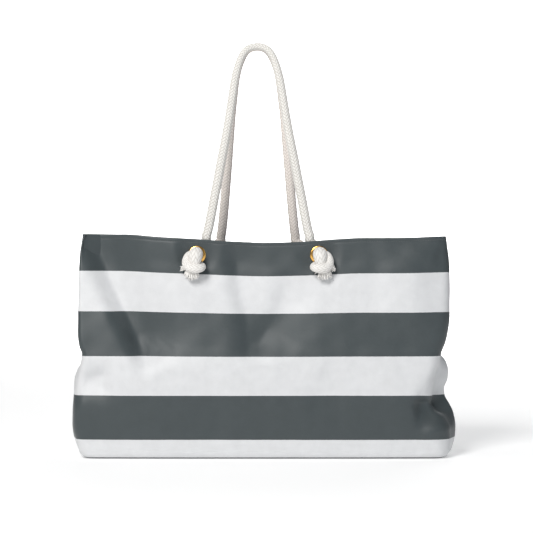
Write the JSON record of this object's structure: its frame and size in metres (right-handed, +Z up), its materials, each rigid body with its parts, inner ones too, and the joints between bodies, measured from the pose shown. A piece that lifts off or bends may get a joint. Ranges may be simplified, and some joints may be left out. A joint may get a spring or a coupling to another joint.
{
  "type": "weekender bag",
  "caption": "Wide soft open-topped tote with a flat T-bottom, broad horizontal stripes, brass grommets and knotted cotton rope handles.",
  "frame": {"origin": "on the floor under the middle of the base", "axes": "+Z up, +X to the right along the bag's width as seen from the front, -Y out of the front face"},
  "size_m": [0.61, 0.1596, 0.6682],
  "materials": {
    "canvas": "printed woven canvas, broad charcoal and white stripes",
    "facing": "charcoal woven canvas",
    "lining": "plain woven lining",
    "rope": "braided natural cotton",
    "brass": "polished",
    "board": "fine grained sheet",
    "zip_tape": "woven zip tape",
    "zip_metal": "cast and polished"
  },
  "bodies": {
    "bag": {"outer_front_panel": "canvas", "outer_back_panel": "canvas", "top_facing_front": "facing", "top_facing_back": "facing", "lining_front_panel": "lining", "lining_back_panel": "lining", "base_insert_board": "board", "front_left_grommet_eyelet": "brass", "front_left_grommet_washer": "brass", "front_right_grommet_eyelet": "brass", "front_right_grommet_washer": "brass", "back_left_grommet_eyelet": "brass", "back_left_grommet_washer": "brass", "back_right_grommet_eyelet": "brass", "back_right_grommet_washer": "brass", "front_left_rope_end": "rope", "front_right_rope_end": "rope", "back_left_rope_end": "rope", "back_right_rope_end": "rope", "pocket_panel": "lining", "pocket_zip_tape_lower": "zip_tape", "pocket_zip_tape_upper": "zip_tape", "pocket_zip_chain": "zip_metal"},
    "front_handle": {"front_handle_rope": "rope"},
    "back_handle": {"back_handle_rope": "rope"},
    "zip_slider": {"pocket_zip_slider": "zip_metal"},
    "zip_pull": {"pocket_zip_pull": "zip_metal"}
  },
  "joints": [
    {"name": "front_handle_swing", "type": "hinge", "parent": "bag", "child": "front_handle", "pos_m": [-0.0085, -0.0434, 0.35], "axis": [1, 0, 0], "range_deg": [0, 175]},
    {"name": "back_handle_swing", "type": "hinge", "parent": "bag", "child": "back_handle", "pos_m": [-0.0085, 0.0434, 0.35], "axis": [-1, 0, 0], "range_deg": [0, 175]},
    {"name": "pocket_zip_slide", "type": "slide", "parent": "bag", "child": "zip_slider", "axis": [1, 0, 0], "range_m": [0, 0.17]},
    {"name": "pocket_zip_pull_flip", "type": "hinge", "parent": "zip_slider", "child": "zip_pull", "pos_m": [-0.085, 0.0371, 0.2775], "axis": [0, 0, -1], "range_deg": [0, 175]}
  ]
}
